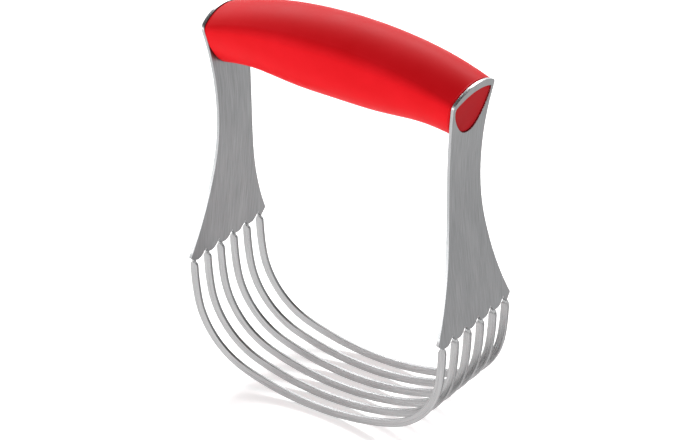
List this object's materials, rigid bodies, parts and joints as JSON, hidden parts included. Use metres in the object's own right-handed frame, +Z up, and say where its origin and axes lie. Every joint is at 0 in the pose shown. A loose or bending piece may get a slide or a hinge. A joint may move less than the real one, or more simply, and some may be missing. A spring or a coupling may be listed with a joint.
{
  "type": "pastry blender",
  "caption": "Hand-held pastry blender: a U of thin curved steel blades on two flared steel arms, joined on top by a soft arched red handle",
  "frame": {"origin": "centre of the bounding box's footprint, on the line where the blades rest", "axes": "+X along the handle towards the right arm, +Y across the row of blades from front to back, +Z up from the blades to the handle"},
  "size_m": [0.1082, 0.0444, 0.1455],
  "materials": {
    "steel": "satin, brushed lengthwise",
    "grip": "soft satin silicone",
    "plug": "satin",
    "core": "as moulded"
  },
  "bodies": {
    "root": {"arm_right": "steel", "arm_left": "steel", "plug_right": "plug", "plug_left": "plug", "handle_core": "core", "handle_grip": "grip", "blade_1": "steel", "blade_2": "steel", "blade_3": "steel", "blade_4": "steel", "blade_5": "steel", "blade_6": "steel"}
  },
  "joints": []
}
